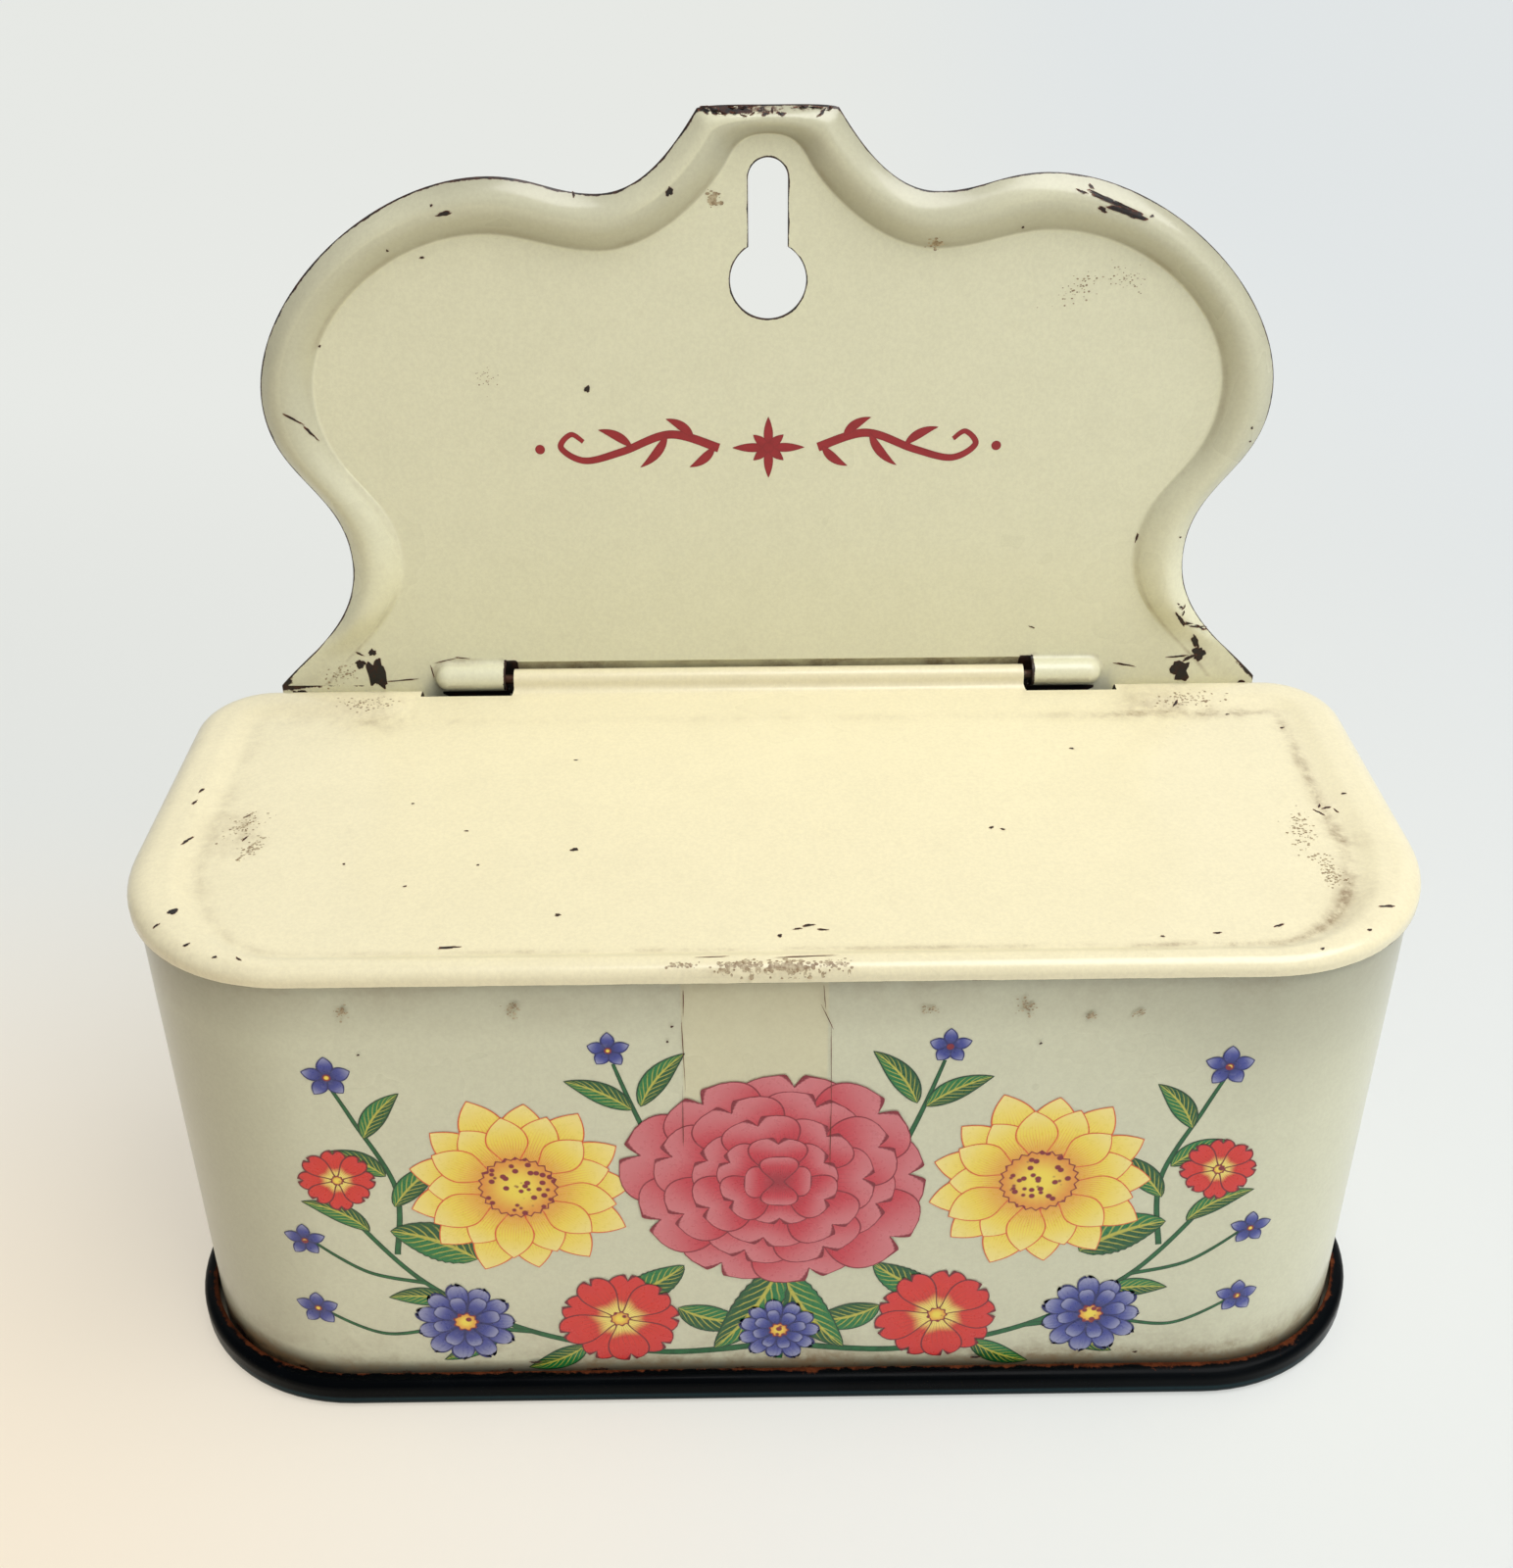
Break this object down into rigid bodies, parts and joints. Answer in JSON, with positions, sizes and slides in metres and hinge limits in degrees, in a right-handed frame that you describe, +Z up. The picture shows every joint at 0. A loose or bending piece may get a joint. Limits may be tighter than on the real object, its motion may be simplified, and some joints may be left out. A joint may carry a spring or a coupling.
{
  "type": "wall match holder",
  "caption": "Painted tinplate box for matches with a hinged lid, a scalloped back plate with a keyhole to hang it by, and a rolled base rim.",
  "frame": {"origin": "on the surface that the box stands on, midway along and across the base rim", "axes": "+Z up, +X to the right seen from the front, +Y to the rear, out of the back plate"},
  "size_m": [0.1638, 0.068, 0.1516],
  "materials": {
    "cream_plate": "glossy cream lacquer, chipped to black along the edges",
    "printed_wall": "glossy cream lacquer with a printed spray of flowers",
    "black_rim": "black enamel, rubbed to rusty metal along the top of the roll",
    "hinge_steel": "dull drawn wire",
    "cream_lid": "glossy cream lacquer with grime along the border"
  },
  "bodies": {
    "root": {"back_plate": "cream_plate", "box_body": "printed_wall", "base_pan": "black_rim", "hinge_wire": "hinge_steel"},
    "lid": {"lid": "cream_lid"}
  },
  "joints": [
    {"name": "lid_hinge", "type": "hinge", "parent": "root", "child": "lid", "pos_m": [0, 0.02975, 0.0758], "axis": [-1, 0, 0], "range_deg": [0, 90]}
  ]
}
